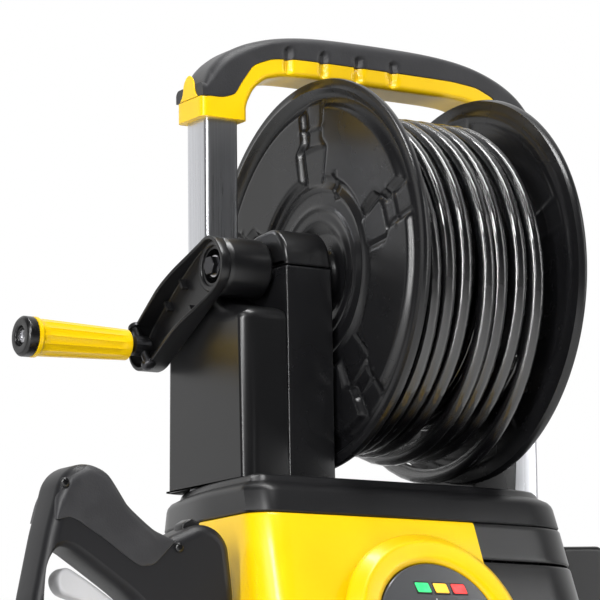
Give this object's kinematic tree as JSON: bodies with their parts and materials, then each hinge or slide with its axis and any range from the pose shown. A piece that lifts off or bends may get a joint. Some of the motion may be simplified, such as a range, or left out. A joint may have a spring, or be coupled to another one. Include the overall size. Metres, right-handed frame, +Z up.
{
  "type": "pressure washer",
  "caption": "upright electric pressure washer on two wheels, with a crank-wound hose reel between two towers, telescopic handle, control dial and trigger gun in its side holster",
  "frame": {"origin": "middle of the bounding box at floor level", "axes": "+Z up; the front with the dial faces -Y; the reel turns about X, with the crank on the -X side"},
  "size_m": [0.5612, 0.364, 0.747],
  "materials": {
    "yellow_plastic": "bright yellow moulded plastic, satin gloss",
    "black_plastic": "satin black moulded plastic",
    "dark_grey_plastic": "dark grey moulded plastic",
    "gun_grey_plastic": "mid grey moulded plastic",
    "trigger_grey": "light grey moulded plastic",
    "grip_rubber": "soft dark grey rubber",
    "hose_rubber": "glossy black hose",
    "tyre_rubber": "black tyre",
    "brushed_aluminium": "brushed anodised",
    "cast_aluminium": "cast",
    "bright_steel": "turned steel",
    "brass_fitting": "turned brass",
    "pipe_black": "black high-pressure pipe",
    "lamp_green": "green lamp window",
    "lamp_amber": "amber lamp window",
    "lamp_red": "red lamp window"
  },
  "bodies": {
    "body": {"base_frame": "black_plastic", "foot_left": "grip_rubber", "foot_right": "grip_rubber", "front_cover": "yellow_plastic", "right_side_panel": "black_plastic", "rear_shell": "black_plastic", "top_cover": "black_plastic", "tower_left_outer": "black_plastic", "tower_left_inner": "dark_grey_plastic", "tower_right_outer": "black_plastic", "tower_right_inner": "dark_grey_plastic", "bearing_cap_left": "black_plastic", "bearing_cap_right": "black_plastic", "control_ring": "yellow_plastic", "display_panel": "dark_grey_plastic", "lamp_green": "lamp_green", "lamp_amber": "lamp_amber", "lamp_red": "lamp_red", "gun_holster": "black_plastic", "cord_gland": "black_plastic", "water_inlet": "brass_fitting", "hook_boss": "black_plastic", "motor_stator": "cast_aluminium", "pump_body": "cast_aluminium", "pump_head": "cast_aluminium", "feed_pipe": "pipe_black", "reel_swivel": "cast_aluminium", "wheel_axle": "bright_steel"},
    "reel": {"reel_drum": "black_plastic", "reel_flange_left": "dark_grey_plastic", "reel_flange_right": "dark_grey_plastic", "reel_axle": "bright_steel", "hose_pack": "hose_rubber", "hose_connector": "bright_steel", "crank_boss": "black_plastic", "crank_arm": "black_plastic", "crank_pivot_pin": "bright_steel"},
    "crank_fold": {"crank_spindle": "bright_steel"},
    "crank_handle": {"crank_grip": "yellow_plastic", "crank_grip_cap": "dark_grey_plastic"},
    "handle": {"handle_tube_left": "brushed_aluminium", "handle_tube_right": "brushed_aluminium", "handle_bar": "yellow_plastic", "handle_overmould": "grip_rubber"},
    "gun": {"gun_shell_front": "gun_grey_plastic", "gun_shell_back": "gun_grey_plastic", "gun_barrel": "black_plastic"},
    "trigger": {"gun_trigger": "trigger_grey"},
    "latch": {"gun_safety_latch": "yellow_plastic"},
    "knob": {"mode_knob": "yellow_plastic"},
    "wheel_left": {"wheel_tyre_left": "tyre_rubber", "wheel_rim_left": "dark_grey_plastic", "hub_cap_left": "yellow_plastic"},
    "wheel_right": {"wheel_tyre_right": "tyre_rubber", "wheel_rim_right": "dark_grey_plastic", "hub_cap_right": "yellow_plastic"},
    "hook": {"cable_hook": "black_plastic"},
    "rotor": {"motor_rotor": "bright_steel", "motor_fan": "black_plastic", "wobble_plate": "bright_steel"}
  },
  "joints": [
    {"name": "reel_spin", "type": "hinge", "parent": "body", "child": "reel", "pos_m": [0.05615, -0.018, 0.56], "axis": [1, 0, 0], "continuous": true},
    {"name": "grip_fold", "type": "hinge", "parent": "reel", "child": "crank_fold", "pos_m": [-0.11535, 0.056, 0.511], "axis": [0, 0.5521, 0.8338], "range_deg": [0, 80]},
    {"name": "grip_spin", "type": "hinge", "parent": "crank_fold", "child": "crank_handle", "pos_m": [-0.11535, 0.056, 0.511], "axis": [1, 0, 0], "continuous": true},
    {"name": "handle_slide", "type": "slide", "parent": "body", "child": "handle", "axis": [0, 0, 1], "range_m": [0, 0.2]},
    {"name": "gun_lift", "type": "slide", "parent": "body", "child": "gun", "axis": [0, 0, 1], "range_m": [0, 0.13]},
    {"name": "trigger_pull", "type": "hinge", "parent": "gun", "child": "trigger", "pos_m": [-0.16985, -0.0781, 0.294], "axis": [0, 1, 0], "range_deg": [0, 5], "stiffness_Nm_per_rad": 1, "springref_deg": -5.73},
    {"name": "latch_slide", "type": "slide", "parent": "gun", "child": "latch", "axis": [0, 0, 1], "range_m": [0, 0.004]},
    {"name": "knob_turn", "type": "hinge", "parent": "body", "child": "knob", "pos_m": [0.00815, -0.14936, 0.28135], "axis": [0, -0.9494, 0.314], "range_deg": [-135, 135]},
    {"name": "wheel_left_spin", "type": "hinge", "parent": "body", "child": "wheel_left", "pos_m": [0.05615, 0.087, 0.095], "axis": [1, 0, 0], "continuous": true},
    {"name": "wheel_right_spin", "type": "hinge", "parent": "body", "child": "wheel_right", "pos_m": [0.05615, 0.087, 0.095], "axis": [1, 0, 0], "continuous": true},
    {"name": "hook_turn", "type": "hinge", "parent": "body", "child": "hook", "pos_m": [0.22065, 0.027, 0.355], "axis": [1, 0, 0], "range_deg": [0, 180]},
    {"name": "motor_spin", "type": "hinge", "parent": "body", "child": "rotor", "pos_m": [0.03615, -0.008, 0.25], "axis": [0, 0, 1], "continuous": true}
  ]
}
